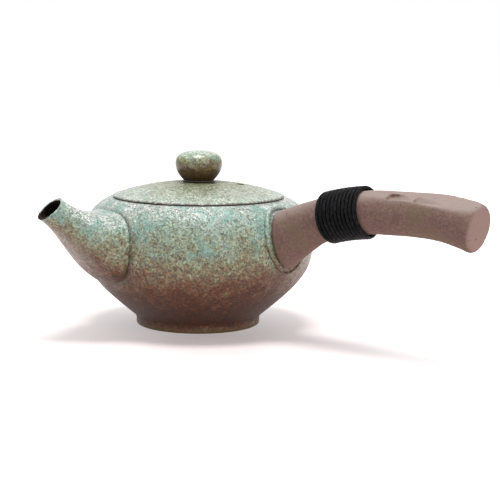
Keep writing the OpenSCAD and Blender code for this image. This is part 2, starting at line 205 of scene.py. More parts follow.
ring_in, mouth_low = FOOT_R - FOOT_W, RIM_H - RIM_T
recess_out, ring_side = (ring_in - RECESS_FILLET, FOOT_RECESS), (ring_in - RING_LEAN, RING_LEAN_H)
sole_in, sole_out = (ring_in + SOLE_ROUND, 0), (FOOT_R - FOOT_ROUND, 0)
foot_low, foot_high = (FOOT_R, FOOT_ROUND), (FOOT_R, FOOT_H - FOOT_FILLET)
seat_out, seat_in = (RIM_R - RIM_ROUND, RIM_H), (MOUTH_R + MOUTH_ROUND, RIM_H)
bore_high, bore_low = (MOUTH_R, RIM_H - MOUTH_ROUND), (MOUTH_R, mouth_low + LEDGE_ROUND)
ledge_in = (MOUTH_R + LEDGE_ROUND, mouth_low)
floor_out = (inner_low[0][0][0] - FLOOR_FILLET, FLOOR_TOP)
pot_outline = [
    straight((0, FOOT_RECESS), recess_out, steps=6),
    corner(recess_out, (ring_in - RECESS_TIP, FOOT_RECESS), ring_side),
    corner(ring_side, (ring_in, 0), sole_in),
    straight(sole_in, sole_out, steps=3),
    corner(sole_out, (FOOT_R, 0), foot_low),
    straight(foot_low, foot_high),
    corner(foot_high, foot_top, low_wall[0][0]),
    low_wall,
    high_wall,
    corner(high_wall[0][3], rim_edge, seat_out, steps=4),
    straight(seat_out, seat_in, steps=4),
    corner(seat_in, (MOUTH_R, RIM_H), bore_high, steps=4),
    straight(bore_high, bore_low),
    corner(bore_low, (MOUTH_R, mouth_low), ledge_in, steps=3),
    straight(ledge_in, inner_high[0][3], steps=3),
    backwards(inner_high),
    backwards(inner_low),
    straight(inner_low[0][0], floor_out),
    straight(floor_out, (0, FLOOR_TOP), steps=8),
]
pot = turned("pot_glazed", pot_outline)

# %% [markdown]
# The port behind the spout is bored through the wall with a Boolean. The bore is a cylinder that lies
# along the spout, and it is deleted once the cut is applied. Faces could be deleted by hand instead,
# but that leaves a ragged hole with no wall round it.

# %% Boring
BORE_SIDES = 48
UP = Vector((0, 0, 1))


def apply_modifier(piece, kind, **settings):
    select_only(piece)
    bpy.ops.object.modifier_add(type=kind)
    modifier = piece.modifiers[-1]
    for setting, value in settings.items():
        setattr(modifier, setting, value)
    bpy.ops.object.modifier_apply(modifier=modifier.name)


def cut_away(piece, cutter):
    apply_modifier(piece, "BOOLEAN", operation="DIFFERENCE", object=cutter, solver="EXACT")
    bpy.data.objects.remove(cutter)
    print(piece.name, "cut,", len(piece.data.polygons), "faces")


def bore(piece, diameter, depth, place, way):
    """Cuts a round hole along way, whose middle is at place."""
    bpy.ops.object.select_all(action="DESELECT")
    bpy.ops.mesh.primitive_cylinder_add(
        vertices=BORE_SIDES, radius=diameter / 2 * MM, depth=depth * MM, location=Vector(place) * MM,
        rotation=Vector(way).to_track_quat("Z", "Y").to_euler())
    cut_away(piece, bpy.context.object)


# %% Port
PORT_D, PORT_H, PORT_BORE = 19, 35.8, 6 * WALL
SPOUT_AZ = radians(214)
spout_ahead = Vector((cos(SPOUT_AZ), sin(SPOUT_AZ), 0))
bore(pot, PORT_D, PORT_BORE, POT_R * spout_ahead + PORT_H * UP, spout_ahead)

# %% [markdown]
# ## Lid, flange and knob
# The lid is a thin plate with a low dome and a rounded lip. A ring under it drops into the mouth and
# keeps it in place, and a squashed ball on top is the grip. A small vent lets the air in while
# pouring: a hole with a shallow dish round it, where a finger smoothed the clay. The dish could be
# painted on, but a second, wider bore gives it a rim that catches the light.

# %% Lid
LID_R, LID_TOP, LID_LIP, LID_T = 36.1, 60.4, 0.9, 3.1
HOLLOW_R, SEAT_BEVEL = 27.3, 0.4
LIP_ROUND, LIP_UNDER, LIP_UNDER_TIP = 0.45, 0.9, 0.3
DOME_IN, DOME_UP = 0.6, 0.2

hollow_top, lip_top = LID_TOP - LID_T, RIM_H + LID_LIP
hollow_out, flat_in = (HOLLOW_R, RIM_H + SEAT_BEVEL), (HOLLOW_R + SEAT_BEVEL, RIM_H)
flat_out, lip_side = (LID_R - LIP_UNDER, RIM_H), (LID_R, RIM_H + LIP_ROUND)
dome_out = (LID_R - DOME_IN, lip_top + DOME_UP)
hollow_pulls = [(10, hollow_top), (20, 56.4)]
dome_pulls = [(24, 58.9), (12, LID_TOP)]
lid_outline = [
    curve([(0, hollow_top), *hollow_pulls, hollow_out], steps=12),
    straight(hollow_out, flat_in),
    straight(flat_in, flat_out, steps=5),
    corner(flat_out, (LID_R - LIP_UNDER_TIP, RIM_H), lip_side),
    corner(lip_side, (LID_R, lip_top), dome_out),
    curve([dome_out, *dome_pulls, (0, LID_TOP)], steps=44),
]
lid = turned("lid_glazed", lid_outline)

# %% Vent
VENT_D, VENT_BORE, VENT_REACH, VENT_SINK = 2.6, 12, 17.7, 2
VENT_DISH_D, VENT_DISH_SINK = 3.6, 0.25
bore(lid, VENT_D, VENT_BORE, (VENT_REACH, 0, LID_TOP - VENT_SINK), UP)
bore(lid, VENT_DISH_D, VENT_DISH_D, (VENT_REACH, 0, LID_TOP - VENT_DISH_SINK), UP)

# %% Lid flange
FLANGE_R, FLANGE_T, FLANGE_H, FLANGE_ROUND = 30.7, 2.8, 7.0, 0.7
flange_low, flange_in = RIM_H - FLANGE_H, FLANGE_R - FLANGE_T
side_in, edge_in = (flange_in, flange_low + FLANGE_ROUND), (flange_in + FLANGE_ROUND, flange_low)
edge_out, side_out = (FLANGE_R - FLANGE_ROUND, flange_low), (FLANGE_R, flange_low + FLANGE_ROUND)
flange_outline = [
    straight((flange_in, RIM_H), side_in, steps=5),
    corner(side_in, (flange_in, flange_low), edge_in),
    straight(edge_in, edge_out),
    corner(edge_out, (FLANGE_R, flange_low), side_out),
    straight(side_out, (FLANGE_R, RIM_H), steps=5),
    straight((FLANGE_R, RIM_H), (flange_in, RIM_H)),
]
flange = turned("lid_flange_bare", flange_outline)

# %% Knob
KNOB_R, KNOB_H, KNOB_WIDEST = 9.9, 12.9, 7.4
KNOB_NECK_R, KNOB_COVE_H, KNOB_SEAT_R = 6.4, 0.5, 7.1
COVE_OUT, COVE_LOW, COVE_HIGH = 0.1, 0.1, 0.2
NECK_PULLS, FLANK_PULL, CROWN_PULLS = (0.71, 0.39), 0.35, (0.75, 0.64)

knob_seat = Vector((KNOB_SEAT_R, LID_TOP))
knob_neck = Vector((KNOB_NECK_R, LID_TOP + KNOB_COVE_H))
knob_wide = Vector((KNOB_R, LID_TOP + KNOB_WIDEST))
knob_top = Vector((0, LID_TOP + KNOB_H))
cove_low = (KNOB_NECK_R + COVE_OUT, LID_TOP + COVE_LOW)
cove_high = (KNOB_NECK_R, LID_TOP + COVE_HIGH)
flank, crown_h = knob_wide - knob_neck, KNOB_H - KNOB_WIDEST
leave_neck = knob_neck + Vector((NECK_PULLS[0] * flank[0], NECK_PULLS[1] * flank[1]))
meet_wide = knob_wide - Vector((0, FLANK_PULL * flank[1]))
leave_wide = knob_wide + Vector((0, CROWN_PULLS[0] * crown_h))
meet_top = knob_top + Vector((CROWN_PULLS[1] * KNOB_R, 0))
knob_outline = [
    straight((0, LID_TOP), knob_seat, steps=4),
    curve([knob_seat, cove_low, cove_high, knob_neck], steps=6),
    curve([knob_neck, leave_neck, meet_wide, knob_wide], steps=22),
    curve([knob_wide, leave_wide, meet_top, knob_top], steps=26),
]
knob = turned("knob_glazed", knob_outline)

# %% [markdown]
# ## Stuck-on pieces
# The spout, the handle and the bead of clay round its root are shaped by hand and stuck on. Their
# solids already have the right form, only with flat facets, so each one starts from a merged copy of
# its solid. Triangles joined into quads take a Subdivision Surface well, which rounds the facets. A
# crease on the sharp edges keeps the lip of the spout from shrinking.

# %% Rounded copies of the solids
QUAD_ANGLE, SHARP_ANGLE = radians(60), radians(50)
ROUND_LEVELS = 2
SPOUT_CREASE = 0.75


def rounded_copy(node, name, crease):
    piece = bpy.data.objects.new(name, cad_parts[node].data.copy())
    bpy.context.collection.objects.link(piece)
    piece.data.materials.clear()
    edit(piece)
    bpy.ops.mesh.remove_doubles(threshold=MERGE)
    bpy.ops.mesh.tris_convert_to_quads(face_threshold=QUAD_ANGLE, shape_threshold=QUAD_ANGLE)
    bpy.ops.mesh.select_mode(type="EDGE")
    bpy.ops.mesh.select_all(action="DESELECT")
    bpy.ops.mesh.edges_select_sharp(sharpness=SHARP_ANGLE)
    bpy.ops.transform.edge_crease(value=crease)
    bpy.ops.mesh.select_mode(type="VERT")
    bpy.ops.object.mode_set(mode="OBJECT")
    apply_modifier(piece, "SUBSURF", levels=ROUND_LEVELS, render_levels=ROUND_LEVELS)
    bpy.ops.object.shade_smooth()
    print(name, len(piece.data.polygons), "faces")
    return piece


spout = rounded_copy("spout", "spout_glazed", SPOUT_CREASE)
collar = rounded_copy("handle_collar", "handle_collar_glazed", 0)
handle = rounded_copy("handle", "handle_clay", 0)

# %% [markdown]
# ## Handle line
# The handle climbs out of the pot to a crest and then falls a little to its cut end. The climb's
# middle line is repeated here, as (distance from the axis, height), because the cord winds round it.
# The handle's thickness along it is repeated too: it flares towards its root.

# %% Handle line
HANDLE_AZ = radians(-38)
HANDLE_REACH, HANDLE_TOP_H = 132.5, 54.8
HANDLE_HALF, HANDLE_ROOT_HALF = 8.85, 13.2
ROOT_SINK, ROOT_H, CREST_SHARE = 4.3, 36.7, 0.577
ROOT_PULL, CREST_PULL = Vector((11, 12.6)), Vector((20, 0.2))
FLARE_SHARE, FLARE_POWER = 0.48, 1.6

handle_ahead = Vector((cos(HANDLE_AZ), sin(HANDLE_AZ), 0))
handle_side = Vector((-sin(HANDLE_AZ), cos(HANDLE_AZ), 0))
root = Vector((POT_R - ROOT_SINK, ROOT_H))
crest = Vector((POT_R + CREST_SHARE * (HANDLE_REACH - POT_R), HANDLE_TOP_H))
climb = (root, root + ROOT_PULL, crest - CREST_PULL, crest)
print("handle climbs from", [round(v, 1) for v in root], "to", [round(v, 1) for v in crest])


# %% Places on the handle line
HALVINGS = 30


def bezier(points, t):
    a, b, c, d = points
    u = 1 - t
    return u ** 3 * a + 3 * u * u * t * b + 3 * u * t * t * c + t ** 3 * d


def bezier_way(points, t):
    a, b, c, d = points
    u = 1 - t
    return (u * u * (b - a) + 2 * u * t * (c - b) + t * t * (d - c)).normalized()


def handle_half(t):
    flare = max(0, 1 - t / FLARE_SHARE) ** FLARE_POWER
    return HANDLE_HALF + (HANDLE_ROOT_HALF - HANDLE_HALF) * flare


def handle_at(reach):
    """The place t on the climb that lies at this distance from the pot's axis."""
    low, high = 0, 1
    for _ in range(HALVINGS):
        middle = (low + high) / 2
        low, high = (middle, high) if bezier(climb, middle)[0] < reach else (low, middle)
    return low


def in_handle_plane(p):
    return p[0] * handle_ahead + p[1] * UP


# %% [markdown]
# ## Carving the handle
# While the clay was leather hard its top was pared with a knife: two long flat facets, and two short
# nicks that start at a steep wall and run out towards the end. A block whose lower edge lies at the
# wall cuts each of them with a Boolean. Bisect could make a facet, but not a cut that stops at a wall.
# A voxel Remesh then melts the cuts into one even skin, and Smooth softens their edges as a wet
# finger does. The facets are softened more than the nicks, so they are cut and softened first.

# %% Paring cuts
PARING_SIZE = 60
# Each cut has its wall's reach, lean and depth, its floor's rise, and its length and width. Lean and
# rise are in degrees, and depth is taken from the skin at the handle's crest.
FACETS = [
    (64, 22, 1.37, 1.5, PARING_SIZE, PARING_SIZE),
    (94, 17, -0.04, -3.7, PARING_SIZE, PARING_SIZE),
]
NICKS = [
    (97.2, 33, 2.0, 9, 14, 3.6),
    (109.2, 33, 1.5, 2, 18, 4.2),
]


def pare(reach, lean, depth, rise, length, width):
    """Cuts from a wall at reach towards the end, on the side that leans this far to the front."""
    out = cos(radians(lean)) * UP - sin(radians(lean)) * handle_side
    along = cos(radians(rise)) * handle_ahead + sin(radians(rise)) * out
    lift = cos(radians(rise)) * out - sin(radians(rise)) * handle_ahead
    start = reach * handle_ahead + HANDLE_TOP_H * UP + (HANDLE_HALF - depth) * out
    bpy.ops.object.select_all(action="DESELECT")
    bpy.ops.mesh.primitive_cube_add(
        size=1, location=(start + length / 2 * along + width / 2 * lift) * MM,
        rotation=Matrix((along, lift.cross(along), lift)).transposed().to_euler(),
        scale=(length * MM, width * MM, width * MM))
    cut_away(handle, bpy.context.object)


# %% Pare and soften
CLAY_VOXEL, CLAY_SMOOTHING = 0.4, 0.5
FACET_ROUNDS, NICK_ROUNDS = 14, 5


def soften(rounds):
    apply_modifier(handle, "REMESH", mode="VOXEL", voxel_size=CLAY_VOXEL * MM)
    apply_modifier(handle, "SMOOTH", factor=CLAY_SMOOTHING, iterations=rounds)


for cuts, rounds in ((FACETS, FACET_ROUNDS), (NICKS, NICK_ROUNDS)):
    for cut in cuts:
        pare(*cut)
    soften(rounds)

# %% [markdown]
# The cut end is worn rounder than the rest, so a vertex group limits a stronger Smooth to it. A Bevel
# would round its rim alone, and evenly. Then a Displace with a cloud pattern leaves the whole surface
# a little wavy, as by fingers. It only pushes in, so the size stays.

# %% Worn end and wavy skin
CUT_END_REACH, CUT_END_ROUNDS = 121, 80
WAVE_SIZE, WAVE_DEPTH = 9, 0.5
cut_end = handle.vertex_groups.new(name="cut_end")
near_end = [v.index for v in handle.data.vertices if v.co.dot(handle_ahead) > CUT_END_REACH * MM]
cut_end.add(near_end, 1, "ADD")
apply_modifier(
    handle, "SMOOTH", factor=CLAY_SMOOTHING, iterations=CUT_END_ROUNDS, vertex_group=cut_end.name)
clay_waves = bpy.data.textures.new("clay_waves", "CLOUDS")
clay_waves.noise_scale = WAVE_SIZE * MM
apply_modifier(
    handle, "DISPLACE", texture=clay_waves, texture_coords="LOCAL", mid_level=1,
    strength=WAVE_DEPTH * MM)
bpy.ops.object.shade_smooth()
print("handle", len(handle.data.polygons), "faces")

# %% [markdown]
# ## Cord
# The handle is bound with eleven close turns of black twisted cord. Its middle line is a helix that
# keeps to the handle's skin, and three plies wind round that line, each a curve with a round bevel. A
# plain tube with a bump for the twist would do from afar, but its outline would be too smooth. The
# first turn starts under the skin, so that its end is tucked away, and the last one ends in a trimmed
# tip.

# %% Cord line
CORD_D, CORD_PITCH, CORD_TURNS, CORD_START = 1.72, 1.75, 11, 67
CORD_START_ANGLE = radians(-100)
CORD_BITE, TUCK_TURNS, TUCK_DEPTH = 0.05, 0.3, 1.9
cord_way = bezier_way(climb, handle_at(CORD_START + CORD_PITCH * CORD_TURNS / 2))
cord_high = in_handle_plane((-cord_way[1], cord_way[0]))


def cord_middle(turns):
    t = handle_at(CORD_START + CORD_PITCH * turns * cord_way[0])
    lean = bezier_way(climb, t).dot(cord_way)
    tuck = max(0, 1 - turns / TUCK_TURNS) ** 2
    r = handle_half(t) + CORD_D / 2 - CORD_BITE - TUCK_DEPTH * tuck
    angle = 2 * pi * turns + CORD_START_ANGLE
    round_handle = r * cos(angle) * handle_side + r / lean * sin(angle) * cord_high
    return in_handle_plane(bezier(climb, t)) + round_handle


# %% Points of a ply
PLIES, PLY_LAY, PLY_STEPS, TIP_STEPS = 3, 2.8, 10, 8
TIP_R = 0.5
# Three round plies that touch one another just fill the cord's thickness.
ply_r = CORD_D / 2 / (1 + 2 / 3 ** 0.5)
ply_offset = CORD_D / 2 - ply_r
turn_length = 2 * pi * (HANDLE_HALF + CORD_D / 2)
steps_per_turn = round(turn_length / PLY_LAY * PLY_STEPS)
across = in_handle_plane(cord_way)
line = [cord_middle(k / steps_per_turn) for k in range(CORD_TURNS * steps_per_turn + 1)]
last = len(line) - 1
print("cord line,", len(line), "points")


def ply_point(ply, k):
    """The place of point k on this ply, and its radius as a share of the ply's."""
    ahead = (line[min(k + 1, last)] - line[max(k - 1, 0)]).normalized()
    out = ahead.cross(across).normalized()
    angle = 2 * pi * (k / PLY_STEPS + ply / PLIES)
    trim = min(1, (last - k) / TIP_STEPS)
    place = line[k] + trim * ply_offset * (cos(angle) * across + sin(angle) * out)
    return place * MM, TIP_R + (1 - TIP_R) * trim


# %% Three plies
bpy.ops.object.select_all(action="DESELECT")
bpy.ops.curve.primitive_bezier_curve_add(location=(0, 0, 0))
cord = bpy.context.object
cord.name = "cord_wrap_twisted"
cord.data.splines.clear()
cord.data.dimensions = "3D"
cord.data.bevel_depth = ply_r * MM
cord.data.bevel_resolution = 1
cord.data.use_fill_caps = True
for ply in range(PLIES):
    spline = cord.data.splines.new("POLY")
    spline.points.add(last)
    for k, point in enumerate(spline.points):
        place, point.radius = ply_point(ply, k)
        point.co = (*place, 1)
select_only(cord)
bpy.ops.object.convert(target="MESH")
bpy.ops.object.shade_smooth()
print("cord", len(cord.data.polygons), "faces")

# %% [markdown]
# ## Seams and edges
# At the root of the spout and round the bead at the handle, the edge beside the seam is paler,
# partly as paler glaze and partly as a painted highlight, and the crease gets a dark line of painted
# shade. Low down, where the coat is thin, the edges get that painted shade too. Each vertex near a
# seam remembers how near it is, in a float attribute that the glaze reads. It could be painted on
# as vertex colour; a closest-point search on the neighbouring piece gives the distance with no hand
# work.

# %% Seam and edge attributes
def skin_of(piece):
    vertices = [v.co for v in piece.data.vertices]
    return BVHTree.FromPolygons(vertices, [p.vertices for p in piece.data.polygons])


def remember(piece, name, neighbour, full, none):
    """Stores how near the neighbour's skin is: 1 at the gap full, going to 0 at the gap none."""
    skin, far = skin_of(neighbour), max(full, none)
    values = []
    for vertex in piece.data.vertices:
        distance = skin.find_nearest(vertex.co, far * MM)[3]
        gap = far if distance is None else min(far, distance / MM)
        values.append(min(1, max(0, (gap - none) / (full - none))))
    attribute = piece.data.attributes.new(name, "FLOAT", "POINT")
    attribute.data.foreach_set("value", values)
    print(piece.name, name, "on", sum(v > 0 for v in values), "vertices")


remember(pot, "seam", spout, full=0.3, none=1.9)
remember(spout, "edge", pot, full=1.5, none=2.8)
remember(collar, "seam", handle, full=0.3, none=1.0)
remember(collar, "edge", pot, full=1.3, none=0.6)

# %% [markdown]
# ## Materials
# Colours are written as sRGB hex values, as a colour picker shows them, and one function turns them
# to the linear values that Blender computes with. One more function adds a node with its settings and
# links. Each pattern's scale is one over its real size, because Object coordinates are in metres.

# %% Material helpers
# A Mix node has many sockets of the same name, so the ones in use are known by their numbers.
FACTOR, VALUE_A, VALUE_B = 0, 2, 3
COLOUR_A, COLOUR_B, MIXED = 6, 7, 2


def linear(hex_colour):
    parts = [int(hex_colour[k:k + 2], 16) / 255 for k in (1, 3, 5)]
    return [c / 12.92 if c <= 0.04045 else ((c + 0.055) / 1.055) ** 2.4 for c in parts] + [1]


def per_mm(size):
    return 1 / (size * MM)


def add(tree, kind, sockets=None, stops=None, **settings):
    """Adds a node. Sockets take a value or another node's output, and stops fill a colour ramp."""
    made = tree.nodes.new(kind)
    for setting, value in settings.items():
        setattr(made, setting, value)
    for place, value in (sockets or {}).items():
        if isinstance(value, bpy.types.NodeSocket):
            tree.links.new(value, made.inputs[place])
        else:
            made.inputs[place].default_value = value
    if stops:
        elements = made.color_ramp.elements
        while len(elements) < len(stops):
            elements.new(1)
        for element, (place, colour) in zip(elements, stops):
            element.position = place
            element.color = linear(colour)
    return made


def material(name):
    """A new material, its node tree, its surface node and its texture coordinates."""
    made = bpy.data.materials.new(name)
    made.use_nodes = True
    tree = made.node_tree
    surface = tree.nodes["Principled BSDF"]
    return made, tree, surface, add(tree, "ShaderNodeTexCoord").outputs


# %% [markdown]
# ## Ash glaze
# Wood ash that settles on the pot in the kiln melts to a glaze. Most of it lands high up and on what
# faces upwards. Where the coat is thick it is pale green, with turquoise pools. Where it thins it
# breaks into olive and brown, and near the foot only the brown body is left. Such a glaze could be
# painted by hand on each piece. Here its thickness is worked out from the height and from the way
# that the surface faces, and a ramp has a colour for each thickness, so one recipe suits all pieces.

# %% Thickness of the coat
def ash_coat(tree, coordinates, start, rise, facing):
    """The height, and the coat there: start, plus 1 per rise in height, plus facing on level clay."""
    height = add(tree, "ShaderNodeSeparateXYZ", {0: coordinates["Object"]}).outputs["Z"]
    upward = add(tree, "ShaderNodeSeparateXYZ", {0: coordinates["Normal"]}).outputs["Z"]
    coat = add(tree, "ShaderNodeMath", {0: height, 1: per_mm(rise), 2: start},
               operation="MULTIPLY_ADD").outputs[0]
    coat = add(tree, "ShaderNodeMath", {0: upward, 1: facing, 2: coat},
               operation="MULTIPLY_ADD").outputs[0]
    return height, coat


# %% [markdown]
# The melt is uneven, so noise of four sizes, from patches down to grain, swings the thickness about.
# The finest grain is crystals in the glaze. Noise that fine looks like worms, so it is made of Voronoi
# cells, warped to lose their straight sides. Real crystals are too fine to show in the picture, so
# they are drawn about two thirds of a millimetre wide.

# %% Patterns of the melt
PATCH, BLOTCH, FLECK, GRAIN = 15, 4.5, 1.9, 0.8
MELT_DETAIL = {PATCH: 2, BLOTCH: 3, FLECK: 2, GRAIN: 3}
MELT_ROUGHNESS = 0.6
CRYSTAL, WARP = 0.68, 1.2


def melt_noises(tree, place):
    noises = {}
    for size, detail in MELT_DETAIL.items():
        noises[size] = add(
            tree, "ShaderNodeTexNoise",
            {"Vector": place, "Scale": per_mm(size), "Detail": detail,
             "Roughness": MELT_ROUGHNESS}).outputs[0]
    return noises


def crystals(tree, place):
    """The distance from each cell's middle, and three random values for each cell."""
    warp = add(tree, "ShaderNodeTexNoise", {"Vector": place, "Scale": per_mm(WARP), "Detail": 1})
    shift = add(tree, "ShaderNodeVectorMath", {0: warp.outputs["Color"], 1: (0.5, 0.5, 0.5)},
                operation="SUBTRACT").outputs[0]
    warped = add(tree, "ShaderNodeVectorMath", {0: shift, 1: (WARP * MM,) * 3, 2: place},
                 operation="MULTIPLY_ADD").outputs[0]
    cells = add(tree, "ShaderNodeTexVoronoi", {"Vector": warped, "Scale": per_mm(CRYSTAL)}).outputs
    return cells["Distance"], add(tree, "ShaderNodeSeparateColor", {0: cells["Color"]}).outputs


def swing(tree, base, pattern, amount):
    """Moves base up and down by a pattern whose middle is 0.5."""
    about = add(tree, "ShaderNodeMath", {0: pattern, 1: 0.5}, operation="SUBTRACT").outputs[0]
    return add(tree, "ShaderNodeMath", {0: about, 1: amount, 2: base},
               operation="MULTIPLY_ADD").outputs[0]


# %% [markdown]
# On top of the ramp lie five layers. The edges beside a seam are paler where the coat is thick,
# partly as a painted highlight, each crystal is a little lighter or darker than the next, and thick
# glaze gathers in turquoise pools. The pits that bubbles left show the dark body, and the seams and
# the edges where the coat is thin get that colour as painted shade. A band runs along the lower
# edge. One large ramp can't give all this. Each layer goes over the last, so it can be tried by
# itself.

# %% Pale edges and crystals
# A pale colour for the edges: partly paler glaze, partly a painted highlight.
PALE_EDGE_AND_HIGHLIGHT = "#bccfc2"


def pale_edges_and_highlight(tree, colour, coat):
    edge = add(tree, "ShaderNodeAttribute", attribute_name="edge").outputs["Fac"]
    zone = add(tree, "ShaderNodeMapRange", {
        "Value": coat, "From Min": 0.37, "From Max": 0.66, "To Max": 0.45}).outputs[0]
    pale = add(tree, "ShaderNodeMath", {0: edge, 1: zone}, operation="MULTIPLY").outputs[0]
    return add(tree, "ShaderNodeMix", {FACTOR: pale, COLOUR_A: colour, COLOUR_B: linear(PALE_EDGE_AND_HIGHLIGHT)},
               data_type="RGBA").outputs[MIXED]


def shaded_crystals(tree, colour, coat, pick):
    spread = add(tree, "ShaderNodeMapRange", {
        "Value": coat, "From Min": 0.1, "From Max": 0.5, "To Min": 1.1, "To Max": 1.05}).outputs[0]
    shade = swing(tree, 1, pick, spread)
    return add(tree, "ShaderNodeHueSaturation", {"Value": shade, "Color": colour}).outputs[0]


# %% Turquoise pools
POOL, POOL_SIZE = "#7fb2a7", 8


def pools(tree, colour, coat, place, amount):
    # The fourth coordinate gives the pools a noise of their own, so they don't follow the patches.
    pool = add(tree, "ShaderNodeTexNoise", {
        "Vector": place, "W": 2, "Scale": per_mm(POOL_SIZE), "Detail": 3,
        "Roughness": MELT_ROUGHNESS}, noise_dimensions="4D").outputs[0]
    pool = add(tree, "ShaderNodeMapRange", {"Value": pool, "From Min": 0.48, "From Max": 0.6},
               interpolation_type="SMOOTHSTEP").outputs[0]
    zone = add(tree, "ShaderNodeMapRange", {
        "Value": coat, "From Min": 0.48, "From Max": 0.62, "To Max": amount}).outputs[0]
    pool = add(tree, "ShaderNodeMath", {0: pool, 1: zone}, operation="MULTIPLY").outputs[0]
    return add(tree, "ShaderNodeMix", {FACTOR: pool, COLOUR_A: colour, COLOUR_B: linear(POOL)},
               data_type="RGBA").outputs[MIXED]


# %% Pits
def pits(tree, coat, distance, pick, amount):
    """Amount in the middle of each cell that is a pit, and a little less where the coat is thin."""
    pit = add(tree, "ShaderNodeMapRange", {
        "Value": distance, "From Min": 0.55, "From Max": 0.1}).outputs[0]
    chosen = add(tree, "ShaderNodeMapRange", {
        "Value": pick, "From Min": 0.35, "From Max": 0.85}).outputs[0]
    pit = add(tree, "ShaderNodeMath", {0: pit, 1: chosen}, operation="MULTIPLY").outputs[0]
    zone = add(tree, "ShaderNodeMapRange", {
        "Value": coat, "From Min": 0.16, "From Max": 0.42,
        "To Min": 0.75 * amount, "To Max": amount}).outputs[0]
    return add(tree, "ShaderNodeMath", {0: pit, 1: zone}, operation="MULTIPLY").outputs[0]


# %% Dark seams
# Dark body for the pits, and the same colour as painted shade in the seams and on low edges.
DARK_BODY_AND_SHADE = "#37311a"


def dark_body_and_shade(tree, colour, coat, pit, fleck):
    """Dark body in the pits; painted shade in the seams and on edges where the coat is thin."""
    edge = add(tree, "ShaderNodeAttribute", attribute_name="edge").outputs["Fac"]
    zone = add(tree, "ShaderNodeMapRange", {
        "Value": coat, "From Min": 0.48, "From Max": 0.25, "To Max": 0.75}).outputs[0]
    edge = add(tree, "ShaderNodeMath", {0: edge, 1: zone}, operation="MULTIPLY").outputs[0]
    seam = add(tree, "ShaderNodeAttribute", attribute_name="seam").outputs["Fac"]
    seam = add(tree, "ShaderNodeMath", {0: seam, 1: edge}, operation="MAXIMUM").outputs[0]
    broken = add(tree, "ShaderNodeMapRange", {
        "Value": fleck, "From Min": 0.35, "From Max": 0.6, "To Min": 0.2, "To Max": 0.8}).outputs[0]
    seam = add(tree, "ShaderNodeMath", {0: seam, 1: broken}, operation="MULTIPLY").outputs[0]
    dark = add(tree, "ShaderNodeMath", {0: pit, 1: seam}, operation="MAXIMUM").outputs[0]
    return add(tree, "ShaderNodeMix", {FACTOR: dark, COLOUR_A: colour, COLOUR_B: linear(DARK_BODY_AND_SHADE)},
               data_type="RGBA").outputs[MIXED]


# %% Band at the lower edge
BAND_WAVE, BAND_AMOUNT = 1.6, 0.85


def banded(tree, colour, height, fleck, band):
    """Colours the lower edge of a piece, from full at one height to nothing at another, unevenly."""
    full, none, band_colour = band
    wavy = add(tree, "ShaderNodeMath", {0: fleck, 1: BAND_WAVE * MM, 2: height},
               operation="MULTIPLY_ADD").outputs[0]
    amount = add(tree, "ShaderNodeMapRange", {
        "Value": wavy, "From Min": (full + BAND_WAVE / 2) * MM,
        "From Max": (none + BAND_WAVE / 2) * MM, "To Min": BAND_AMOUNT, "To Max": 0}).outputs[0]
    return add(tree, "ShaderNodeMix",
               {FACTOR: amount, COLOUR_A: colour, COLOUR_B: linear(band_colour)},
               data_type="RGBA").outputs[MIXED]


# %% [markdown]
# The glaze is glass, so it is glossy where it is thick and dull where it is starved, and its grain
# and pits are felt as a fine relief. A bump is enough for these, as they are less than half a
# millimetre deep.

# %% The whole glaze
SWINGS = {PATCH: 0.4, BLOTCH: 0.5, FLECK: 0.33, GRAIN: 0.4}
CRYSTAL_SWING = 0.22
STARVED_ROUGHER = 0.3
GLAZE_IOR = 1.55


def ash_glaze(name, stops, start, rise, facing, patches, band, pooling, pitting, rough, relief):
    """One glaze. Patches scales the large swings, and rough is the roughness of a thick coat."""
    made, tree, surface, coordinates = material(name)
    place = coordinates["Object"]
    height, coat = ash_coat(tree, coordinates, start, rise, facing)
    noises = melt_noises(tree, place)
    distance, crystal = crystals(tree, place)
    for size in (PATCH, BLOTCH):
        coat = swing(tree, coat, noises[size], SWINGS[size] * patches)
    grained = coat
    for size in (FLECK, GRAIN):
        grained = swing(tree, grained, noises[size], SWINGS[size])
    grained = swing(tree, grained, crystal[1], CRYSTAL_SWING)

    colour = add(tree, "ShaderNodeValToRGB", {0: grained}, stops).outputs[0]
    colour = pale_edges_and_highlight(tree, colour, coat)
    colour = shaded_crystals(tree, colour, coat, crystal[2])
    colour = pools(tree, colour, coat, place, pooling)
    pit = pits(tree, coat, distance, crystal[0], pitting)
    colour = dark_body_and_shade(tree, colour, coat, pit, noises[FLECK])
    colour = banded(tree, colour, height, noises[FLECK], band)
    tree.links.new(colour, surface.inputs["Base Color"])

    dull = add(tree, "ShaderNodeMapRange", {
        "Value": coat, "From Min": 0.1, "From Max": 0.5,
        "To Min": rough + STARVED_ROUGHER, "To Max": rough}).outputs[0]
    tree.links.new(dull, surface.inputs["Roughness"])
    felt = add(tree, "ShaderNodeMath", {0: pit, 1: -1, 2: noises[GRAIN]},
               operation="MULTIPLY_ADD").outputs[0]
    bump = add(tree, "ShaderNodeBump", {"Height": felt, "Strength": 1, "Distance": relief * MM})
    tree.links.new(bump.outputs[0], surface.inputs["Normal"])
    surface.inputs["IOR"].default_value = GLAZE_IOR
    print(name, len(tree.nodes), "nodes")
    return made
